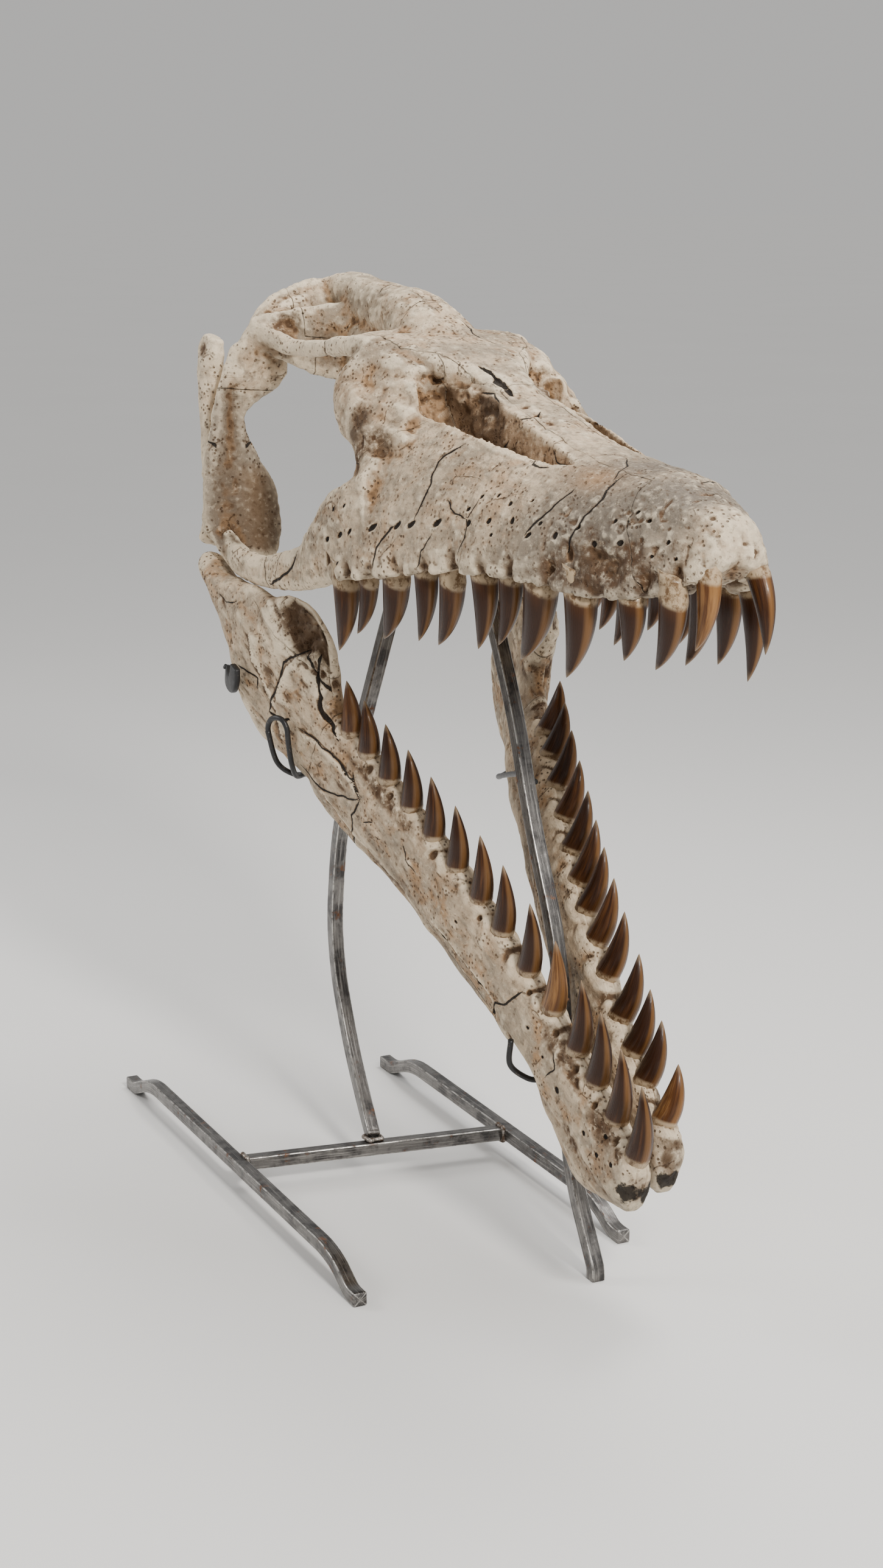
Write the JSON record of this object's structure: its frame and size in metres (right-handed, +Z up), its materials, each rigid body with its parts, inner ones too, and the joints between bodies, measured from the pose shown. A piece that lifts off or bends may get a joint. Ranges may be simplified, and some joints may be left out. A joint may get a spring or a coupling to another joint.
{
  "type": "mosasaur skull on a stand",
  "caption": "Life-size fossil mosasaur skull with gaping toothed jaws, held by a bowed steel post and a front strut on a raised welded floor stand.",
  "frame": {"origin": "on the floor under the middle of the whole piece", "axes": "+X towards the snout, +Y towards the animal's left, +Z up"},
  "size_m": [0.8146, 0.36, 0.8135],
  "materials": {
    "bone": "dry weathered fossil bone, ivory with ochre recesses",
    "snout_bone": "dry weathered fossil bone, greyer and more pitted",
    "inner_bone": "dry fossil bone with ochre matrix",
    "tooth": "glossy amber to chestnut enamel",
    "bare_steel": "bare welded steel, worn bright at the edges with some rust",
    "black_steel": "black rod"
  },
  "bodies": {
    "root": {"braincase": "inner_bone", "coronoid_L": "bone", "coronoid_R": "bone", "dentary_L": "bone", "dentary_R": "bone", "frontal": "bone", "jugal_L": "bone", "jugal_R": "bone", "maxilla_L": "bone", "maxilla_R": "bone", "palate": "inner_bone", "parietal": "bone", "postorbital_L": "bone", "postorbital_R": "bone", "prefrontal_L": "bone", "prefrontal_R": "bone", "premaxilla": "snout_bone", "pterygoid_L": "inner_bone", "pterygoid_R": "inner_bone", "quadrate_L": "bone", "quadrate_R": "bone", "stand_crossbar": "bare_steel", "stand_foot_bar_L": "bare_steel", "stand_foot_bar_R": "bare_steel", "stand_hook_front_R": "black_steel", "stand_hook_middle_L": "black_steel", "stand_hook_middle_R": "black_steel", "stand_hook_rear_R": "black_steel", "stand_post": "bare_steel", "stand_strut": "bare_steel", "surangular_L": "bone", "surangular_R": "bone"}
  },
  "joints": []
}
